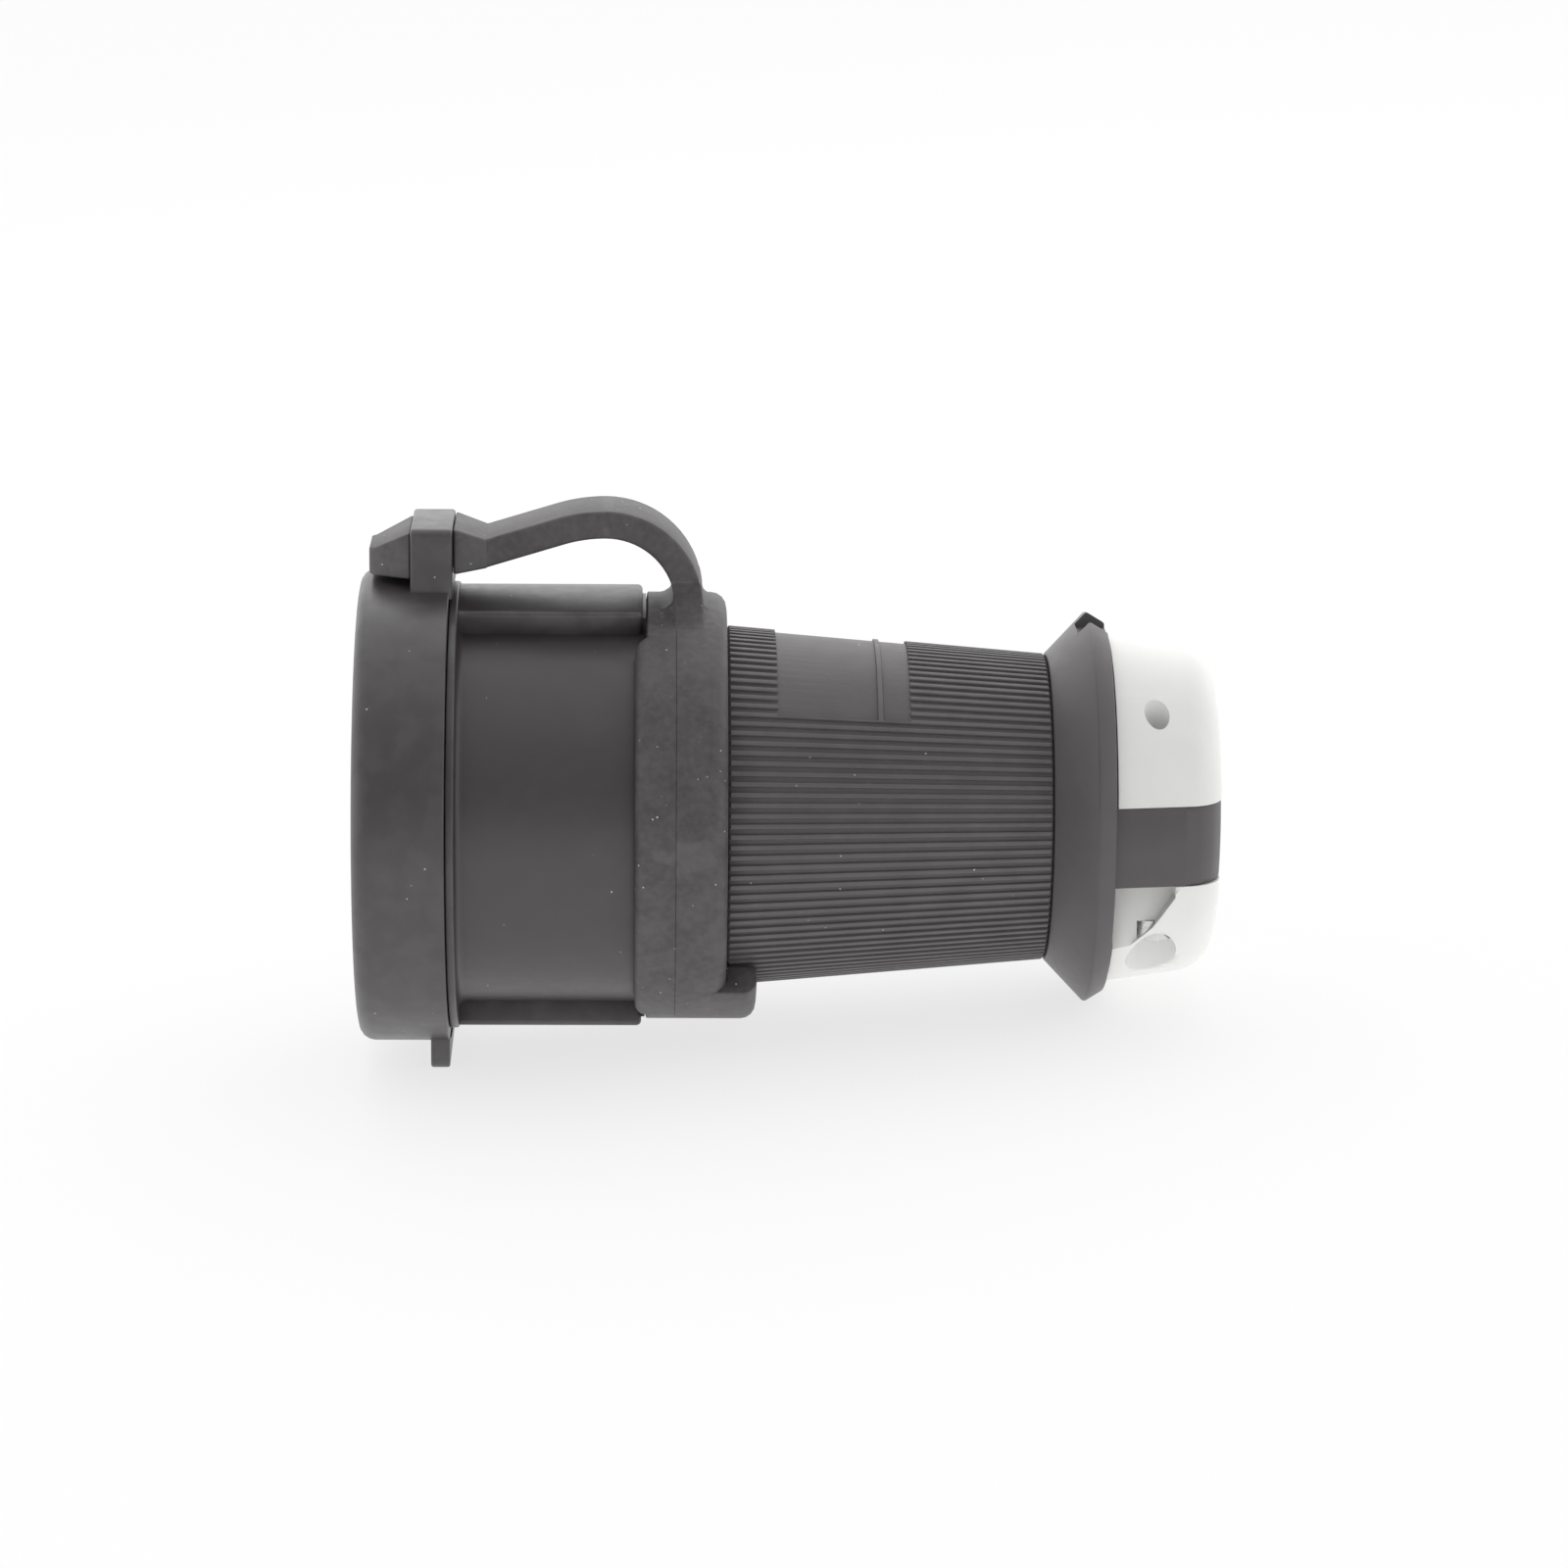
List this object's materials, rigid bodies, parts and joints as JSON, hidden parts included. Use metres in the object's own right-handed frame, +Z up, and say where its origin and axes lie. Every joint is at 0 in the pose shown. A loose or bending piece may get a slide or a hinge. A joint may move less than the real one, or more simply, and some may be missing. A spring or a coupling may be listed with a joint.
{
  "type": "industrial cable coupler",
  "caption": "In-line industrial cable coupler socket: shrouded contact face, ribbed grip, rubber-tethered closure cap and two-jaw cord clamp.",
  "frame": {"origin": "centre of the contact face, in the plane of the socket's rim, on the coupler's axis", "axes": "+X along the coupler from the contact face to the cord clamp, +Z up through the tether's strap"},
  "size_m": [0.1296, 0.072, 0.0853],
  "materials": {
    "black_nylon": "satin moulded nylon",
    "tether_rubber": "matte moulded rubber",
    "grip_elastomer": "matte ribbed elastomer",
    "seal_rubber": "matte",
    "white_nylon": "satin moulded nylon",
    "face_plastic": "satin",
    "contact_brass": "rolled",
    "terminal_steel": "plated",
    "screw_steel": "plated"
  },
  "bodies": {
    "coupler_body": {"socket_shroud": "black_nylon", "contact_carrier": "face_plastic", "carrier_back": "face_plastic", "contact_ground": "contact_brass", "contact_line_one": "contact_brass", "contact_neutral": "contact_brass", "contact_line_two": "contact_brass", "terminal_clamp_ground": "terminal_steel", "terminal_clamp_line_one": "terminal_steel", "terminal_clamp_neutral": "terminal_steel", "terminal_clamp_line_two": "terminal_steel", "terminal_screws": "screw_steel", "assembly_screws": "screw_steel", "shroud_gasket": "seal_rubber", "rear_body": "black_nylon", "grip_sleeve": "grip_elastomer", "cable_grommet": "seal_rubber", "gland_ring": "white_nylon", "tether": "tether_rubber"},
    "cap": {"closure_cap": "black_nylon", "cap_seal": "seal_rubber"},
    "upper_clamp": {"upper_jaw": "white_nylon", "clamp_nuts": "screw_steel"},
    "lower_clamp": {"lower_jaw": "white_nylon", "clamp_screws": "screw_steel"}
  },
  "joints": [
    {"name": "cap_swing", "type": "hinge", "parent": "coupler_body", "child": "cap", "pos_m": [0.00955, 0, 0.0363], "axis": [0, 1, 0], "range_deg": [0, 100], "deforming": ["tether"]},
    {"name": "lower_jaw_slide", "type": "slide", "parent": "coupler_body", "child": "lower_clamp", "axis": [0, 0, -1], "range_m": [0, 0.0025]},
    {"name": "upper_jaw_slide", "type": "slide", "parent": "coupler_body", "child": "upper_clamp", "axis": [0, 0, 1], "range_m": [0, 0.0025]}
  ],
  "couplings": [
    {"joint": "upper_jaw_slide", "follows": "lower_jaw_slide", "ratio": 1}
  ]
}
